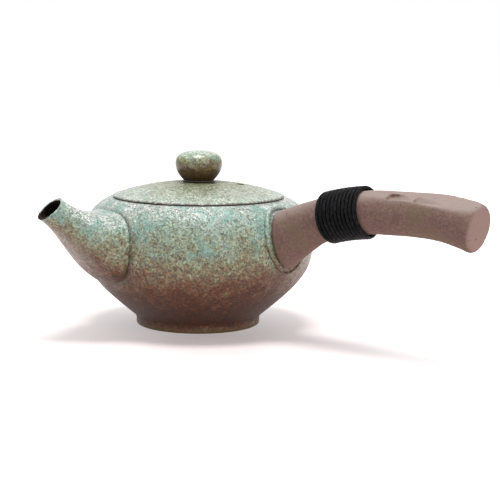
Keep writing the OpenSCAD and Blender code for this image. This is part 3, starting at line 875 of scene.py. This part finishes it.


# %% [markdown]
# The pot, its bead, the lid and the knob differ in how the ash fell. On the pot and the spout it thins
# slowly down the wall. The bead is small and stands out, so it goes from pale to brown within its own
# height. The lid is palest at its rim and olive in the middle, round the knob, where the olive is
# painted shade and a painted reflection of the knob. The knob has a green crown and a dark, glossy
# root.

# %% Glazes
# The palest stops, on the shoulder under the lid, are pale glaze made neutral as painted sheen.
BODY_STOPS = [
    (0.0, "#4c2409"), (0.1, "#5e2f13"), (0.2, "#704627"), (0.28, "#7b634b"), (0.36, "#807153"),
    (0.44, "#8b8764"), (0.52, "#979f7f"), (0.62, "#9daf97"), (0.74, "#9ab0a0"), (0.86, "#b1bdb3"),
    (1.0, "#d3d8d0"),
]
LID_STOPS = [
    (0.1, "#4f4a2c"), (0.3, "#878a6a"), (0.5, "#b0b8a2"), (0.7, "#c6d0c2"), (0.9, "#dde4d6"),
]
KNOB_STOPS = [
    (0.0, "#38260c"), (0.25, "#4b3514"), (0.45, "#6a5427"), (0.62, "#85835f"), (0.8, "#a9b8a0"),
    (0.95, "#c4d4c5"),
]
# A band is full up to its first height and gone at its second.
# Foot band: the foot's own olive colour, made lighter as painted light from the white table.
FOOT_BAND = (0.2, 2.4, "#75602f")
# Lip band: the lid's thin-glazed brown edge, widened and darkened as painted shade of the gap.
LIP_BAND = (54.4, 55.0, "#3a241a")
KNOB_BAND = (60.7, 61.3, "#2a2015")
# Ash glaze on a thrown wall: glossy and pale above, dull and brown below, sparkling with crystals.
body_glaze = ash_glaze(
    "ash_glaze_body", BODY_STOPS, start=0.1, rise=95, facing=0.3, patches=1, band=FOOT_BAND,
    pooling=0.65, pitting=0.8, rough=0.17, relief=0.35)
# Ash glaze run over a bead: the same colours, in less than half the height.
collar_glaze = ash_glaze(
    "ash_glaze_collar", BODY_STOPS, start=-0.4, rise=43, facing=0.1, patches=1, band=FOOT_BAND,
    pooling=0.3, pitting=0.8, rough=0.2, relief=0.35)
# Ash glaze on a level plate: pale green with fine specks, olive round the knob as painted shade
# and a painted reflection of the knob, and a dark lip line, partly painted shade of the gap.
lid_glaze = ash_glaze(
    "ash_glaze_lid", LID_STOPS, start=4.61, rise=-14, facing=0, patches=0.7, band=LIP_BAND,
    pooling=0.3, pitting=0.55, rough=0.22, relief=0.35)
# Ash glaze polished by fingers: smoother and glossier than the rest, with one clear highlight.
knob_glaze = ash_glaze(
    "ash_glaze_knob", KNOB_STOPS, start=-4.36, rise=14, facing=0, patches=0.5, band=KNOB_BAND,
    pooling=0.5, pitting=0.4, rough=0.14, relief=0.08)

# %% [markdown]
# ## Bare clay
# The handle and the inside have no glaze: the clay is dry, sandy and dull, with a few dark pits where
# grit was pulled out. The flame left faint olive patches on the handle. What faces up is paler, as
# painted top light, and its cut end is pinker and painted lighter, as painted light from the side.
# The inside is a browner clay, made darker as painted shade, and the spout's bore and the strainer
# are near black, as painted shade. Three plain colours would be quicker, but sand and pits are what
# tells clay from plastic.

# %% Layers of the clay
CLOUD_SIZE, SAND_SHARE = 9, 0.65
PIT_SPACING, PIT_COLOUR, PIT_TINT = 2.6, "#3a2c27", 0.6


def flamed_clay(tree, place, sand, stops, flash):
    cloud = add(tree, "ShaderNodeTexNoise",
                {"Vector": place, "Scale": per_mm(CLOUD_SIZE), "Detail": 4}).outputs[0]
    tone = add(tree, "ShaderNodeMix", {FACTOR: SAND_SHARE, VALUE_A: cloud, VALUE_B: sand}).outputs[0]
    colour = add(tree, "ShaderNodeValToRGB", {0: tone}, stops).outputs[0]
    amount = add(tree, "ShaderNodeMapRange", {
        "Value": cloud, "From Min": 0.47, "From Max": 0.66, "To Max": 0.6}).outputs[0]
    return add(tree, "ShaderNodeMix", {FACTOR: amount, COLOUR_A: colour, COLOUR_B: linear(flash)},
               data_type="RGBA").outputs[MIXED]


def facing_tints(tree, normal, colour, painted_top_light, cut):
    """Paints top light on what faces up, then light and a pinker tint on the handle's cut end."""
    upward = add(tree, "ShaderNodeSeparateXYZ", {0: normal}).outputs["Z"]
    amount = add(tree, "ShaderNodeMapRange", {
        "Value": upward, "From Min": 0.45, "From Max": 1, "To Max": 0.65}).outputs[0]
    colour = add(tree, "ShaderNodeMix",
                 {FACTOR: amount, COLOUR_A: colour, COLOUR_B: linear(painted_top_light)},
                 data_type="RGBA").outputs[MIXED]
    along = add(tree, "ShaderNodeVectorMath", {0: normal, 1: handle_ahead},
                operation="DOT_PRODUCT").outputs["Value"]
    amount = add(tree, "ShaderNodeMapRange", {
        "Value": along, "From Min": 0.5, "From Max": 0.97, "To Max": 0.8}).outputs[0]
    return add(tree, "ShaderNodeMix", {FACTOR: amount, COLOUR_A: colour, COLOUR_B: linear(cut)},
               data_type="RGBA").outputs[MIXED]


def grit_pits(tree, place):
    cells = add(tree, "ShaderNodeTexVoronoi",
                {"Vector": place, "Scale": per_mm(PIT_SPACING)}).outputs
    pit = add(tree, "ShaderNodeMapRange", {
        "Value": cells["Distance"], "From Min": 0.2, "From Max": 0.1}).outputs[0]
    pick = add(tree, "ShaderNodeSeparateColor", {0: cells["Color"]}).outputs[0]
    chosen = add(tree, "ShaderNodeMapRange", {
        "Value": pick, "From Min": 0.7, "From Max": 0.92}).outputs[0]
    return add(tree, "ShaderNodeMath", {0: pit, 1: chosen}, operation="MULTIPLY").outputs[0]


# %% The whole clay
CLAY_RELIEF, CLAY_BUMP = 0.25, 0.8


def bare_clay(name, stops, flash, painted_top_light, cut, rough, specular, grit):
    """One clay. Flash tints flamed patches; top light and a lighter, pinker cut end are painted."""
    made, tree, surface, coordinates = material(name)
    place = coordinates["Object"]
    sand = add(tree, "ShaderNodeTexNoise",
               {"Vector": place, "Scale": per_mm(grit), "Detail": 3}).outputs[0]
    colour = flamed_clay(tree, place, sand, stops, flash)
    colour = facing_tints(tree, coordinates["Normal"], colour, painted_top_light, cut)
    pit = grit_pits(tree, place)
    tint = add(tree, "ShaderNodeMath", {0: pit, 1: PIT_TINT}, operation="MULTIPLY").outputs[0]
    colour = add(tree, "ShaderNodeMix",
                 {FACTOR: tint, COLOUR_A: colour, COLOUR_B: linear(PIT_COLOUR)},
                 data_type="RGBA").outputs[MIXED]
    tree.links.new(colour, surface.inputs["Base Color"])
    surface.inputs["Roughness"].default_value = rough
    surface.inputs["Specular IOR Level"].default_value = specular
    felt = add(tree, "ShaderNodeMath", {0: pit, 1: -1, 2: sand},
               operation="MULTIPLY_ADD").outputs[0]
    bump = add(tree, "ShaderNodeBump",
               {"Height": felt, "Strength": CLAY_BUMP, "Distance": CLAY_RELIEF * MM})
    tree.links.new(bump.outputs[0], surface.inputs["Normal"])
    print(name, len(tree.nodes), "nodes")
    return made


# %% Clays
# Grains of sand are too fine to show in the picture, so the grit is drawn about a millimetre wide.
HANDLE_STOPS = [(0.38, "#786059"), (0.5, "#846a61"), (0.62, "#91786e")]
INSIDE_STOPS = [(0.35, "#3f2c22"), (0.5, "#4d372b"), (0.65, "#5c4435")]
PAINTED_SHADE_STOPS = [(0.35, "#170f0a"), (0.5, "#261a12"), (0.65, "#402d1f")]
# Fired stoneware, pared and left bare: a dry, pinkish grey-brown with a sandy grain and no shine.
# Its top is painted paler as painted top light, and its cut end lighter as painted light from the
# side.
handle_clay = bare_clay(
    "unglazed_clay_handle", HANDLE_STOPS, flash="#7a6a54", painted_top_light="#bbaba5", cut="#b0938a",
    rough=0.8, specular=0.3, grit=1.0)
# Fired stoneware as thrown: its brown made darker as painted shade, so the inside looks deep.
inside_clay = bare_clay(
    "unglazed_clay_inside", INSIDE_STOPS, flash="#4d372b", painted_top_light="#5c4435", cut="#4d372b",
    rough=0.7, specular=0.3, grit=0.9)
# The same clay painted almost black as painted shade, so the spout's mouth reads as a hole.
painted_shade_clay = bare_clay(
    "dark_clay_painted_shade", PAINTED_SHADE_STOPS, flash="#1c130d", painted_top_light="#1c130d", cut="#1c130d",
    rough=0.75, specular=0.1, grit=0.9)

# %% [markdown]
# ## Black cord
# The cord is dyed cotton with a little wax on it. It is so black that it shows its shape mostly by
# the plies' shadows and by grey specks, which are partly lighter fibres and partly painted glints.
# A sheen would suit dry cotton, but the wax lays the fibres flat, so a low specular level does it.

# %% Black cord
FIBRE = 1.1  # real fibres are too fine to show in the picture, so they are drawn this coarse
CORD_STOPS = [(0.35, "#020203"), (0.52, "#08080a"), (0.68, "#29292e")]
CORD_ROUGH, CORD_SPECULAR = 0.32, 0.12
# Waxed cotton: near black with small dim glints, and grey specks that are partly painted glints.
black_cord, tree, surface, coordinates = material("waxed_cotton_cord")
fibres_and_glints = add(tree, "ShaderNodeTexNoise",
            {"Vector": coordinates["Object"], "Scale": per_mm(FIBRE), "Detail": 2}).outputs[0]
tone = add(tree, "ShaderNodeValToRGB", {0: fibres_and_glints}, CORD_STOPS).outputs[0]
tree.links.new(tone, surface.inputs["Base Color"])
surface.inputs["Roughness"].default_value = CORD_ROUGH
surface.inputs["Specular IOR Level"].default_value = CORD_SPECULAR
print(black_cord.name, len(tree.nodes), "nodes")

# %% [markdown]
# ## Dressing the pieces
# Every piece rides on the body that carries it and replaces its plain solid. The flange is bare,
# and so is the strainer, which keeps its own solid because the picture shows only the closed pot.

# %% Dress
def dress(piece, body, node, slot, *finishes):
    piece.data.materials.clear()
    for finish in finishes:
        piece.data.materials.append(finish)
    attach(piece, body)
    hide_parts(node)
    print(piece.name, "stands for", node)


dress(pot, "teapot_body", "pot", "speckled_glaze", body_glaze, inside_clay)
dress(spout, "teapot_body", "spout", "speckled_glaze", body_glaze, painted_shade_clay)
dress(collar, "teapot_body", "handle_collar", "speckled_glaze", collar_glaze)
dress(handle, "teapot_body", "handle", "bare_clay", handle_clay)
dress(cord, "teapot_body", "cord_wrap", "black_cord", black_cord)
dress(lid, "lid_body", "lid", "speckled_glaze", lid_glaze, inside_clay)
dress(flange, "lid_body", "lid_flange", "speckled_glaze", inside_clay)
dress(knob, "lid_body", "knob", "speckled_glaze", knob_glaze)
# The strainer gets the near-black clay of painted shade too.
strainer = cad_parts["strainer"]
strainer.data.materials.clear()
strainer.data.materials.append(painted_shade_clay)

# %% [markdown]
# The pot, the spout and the lid have a second finish. The insides of the pot and the lid, the
# seat for the lid and the underside of the foot are wiped clean of glaze, or the lid would be fired
# on to the pot. The spout's bore and the vent get a dark finish as painted shade. They could be cut
# off as pieces of their own, but one skin with two materials has no gap between them. The faces are
# picked by where they lie and which way they face.

# %% Bare insides
SPOUT_REACH, SPOUT_TIP_H = 69, 52.6
# Limits on how far a face points out or up, as a share of its normal. Minus is in or down.
INWARD, LEVEL, HANGING, NOT_UP = -0.2, 0.9, -0.7, 0.1
HOLLOW, UNDERSIDE = -0.5, -0.5
GLAZED_LIP, FLOOR_SLACK, SOLE_SLACK, VENT_SLACK = 0.3, 1, 0.1, 0.05


def bare_pot(face):
    middle, out = face.center / MM, face.normal
    reach, height = middle.xy.length, middle[2]
    radial = out.dot(Vector((middle[0], middle[1], 0)).normalized())
    inner = radial < INWARD and height > FLOOR_TOP
    level = out[2] > LEVEL and (height < FLOOR_TOP + FLOOR_SLACK or reach < LID_R - GLAZED_LIP)
    ledge = out[2] < HANGING and height > WIDEST_H
    sole = out[2] < NOT_UP and height < FOOT_RECESS + SOLE_SLACK and reach < FOOT_R - FOOT_ROUND
    return inner or level or ledge or sole


# The spout's hollow gets the near-black clay of painted shade.
def bare_spout(face):
    middle = face.center / MM
    along = (middle.dot(spout_ahead) - POT_R) / (SPOUT_REACH - POT_R)
    axis = POT_R * spout_ahead + PORT_H * UP
    axis = axis.lerp(SPOUT_REACH * spout_ahead + SPOUT_TIP_H * UP, along)
    return (middle - axis).normalized().dot(face.normal) < HOLLOW


# The vent and its dish get the dark inside clay as painted shade; the underside is wiped bare.
def bare_lid(face):
    from_vent = (face.center / MM - Vector((VENT_REACH, 0, LID_TOP))).xy.length
    return face.normal[2] < UNDERSIDE or from_vent < VENT_DISH_D / 2 + VENT_SLACK


for piece, is_bare in ((pot, bare_pot), (spout, bare_spout), (lid, bare_lid)):
    bare = [face for face in piece.data.polygons if is_bare(face)]
    for face in bare:
        face.material_index = 1
    print(piece.name, len(bare), "bare faces")

# %% [markdown]
# ## Floor and light
# A white table in a white room, under three soft lamps: one overhead, one from the right and a weak
# one in front. To the camera and in reflections the room is plain white, and the table glows towards
# white away from the pot, while neither lights the pot that strongly. So the ground is white as in
# the picture, and the table still keeps the pot's shadow. A brighter lamp would also make it white,
# but would bleach the pot.

# %% Floor
# The floor's and the lamps' sizes and places are in metres.
FLOOR_SIZE = 6
# The glow is weakest round a point just in front of the pot: painted shade that deepens the pot's
# shadow on the table and in the pot's reflections of it.
GLOW_CENTRE, GLOW_NEAR, GLOW_FAR = (0.008, -0.045, 0), 0.015, 0.155
GLOW_LEAST, GLOW_MOST = 0.2, 0.96
bpy.ops.object.select_all(action="DESELECT")
bpy.ops.mesh.primitive_plane_add(size=FLOOR_SIZE, location=(0, 0, 0))
floor = bpy.context.object
floor.name = "floor"
# Matt white board: no shine at all, so that only the shadow shows on it.
made, tree, surface, coordinates = material("white_table")
surface.inputs["Base Color"].default_value = linear("#ecdfdf")
surface.inputs["Roughness"].default_value = 1
surface.inputs["Specular IOR Level"].default_value = 0
path = add(tree, "ShaderNodeLightPath").outputs
seen = add(tree, "ShaderNodeMath", {0: path["Is Camera Ray"], 1: path["Is Glossy Ray"]},
           operation="MAXIMUM").outputs[0]
away = add(tree, "ShaderNodeVectorMath", {0: coordinates["Object"], 1: GLOW_CENTRE},
           operation="DISTANCE").outputs["Value"]
glow = add(tree, "ShaderNodeMapRange", {
    "Value": away, "From Min": GLOW_NEAR, "From Max": GLOW_FAR,
    "To Min": GLOW_LEAST, "To Max": GLOW_MOST}).outputs[0]
glow = add(tree, "ShaderNodeMath", {0: glow, 1: seen}, operation="MULTIPLY").outputs[0]
surface.inputs["Emission Color"].default_value = (1, 1, 1, 1)
tree.links.new(glow, surface.inputs["Emission Strength"])
floor.data.materials.append(made)
print("floor", FLOOR_SIZE, "m wide")

# %% Room
ROOM_LIGHT, ROOM_WHITE = 0.37, 1.0
world = bpy.data.worlds.new("white_room")
bpy.context.scene.world = world
world.use_nodes = True
tree = world.node_tree
path = add(tree, "ShaderNodeLightPath").outputs
seen = add(tree, "ShaderNodeMath", {0: path["Is Camera Ray"], 1: path["Is Glossy Ray"]},
           operation="MAXIMUM").outputs[0]
seen = add(tree, "ShaderNodeMath", {0: seen, 1: path["Is Transmission Ray"]},
           operation="MAXIMUM").outputs[0]
strength = add(tree, "ShaderNodeMapRange", {
    "Value": seen, "To Min": ROOM_LIGHT, "To Max": ROOM_WHITE}).outputs[0]
background = tree.nodes["Background"]
background.inputs["Color"].default_value = (1, 1, 1, 1)
tree.links.new(strength, background.inputs["Strength"])
print(world.name, "lights the pot at", ROOM_LIGHT)


# %% Lamps
def lamp(name, place, aim, width, depth, watts):
    bpy.ops.object.light_add(type="AREA", location=place)
    made = bpy.context.object
    made.name = name
    made.data.shape = "RECTANGLE"
    made.data.size, made.data.size_y = width, depth
    made.data.energy = watts
    made.rotation_euler = (Vector(aim) - Vector(place)).to_track_quat("-Z", "Y").to_euler()
    print(name, watts, "W")


lamp("overhead_softbox", (0, 0, 0.85), aim=(0, 0, 0.03), width=0.36, depth=0.26, watts=4.7)
lamp("right_softbox", (0.7, -0.85, 0.5), aim=(0.05, -0.04, 0.04), width=0.7, depth=0.7, watts=2.6)
lamp("front_fill", (-0.2, -1.1, 0.5), aim=(0.02, 0, 0.03), width=0.5, depth=0.5, watts=0.8)
bpy.context.scene.view_settings.view_transform = "Standard"
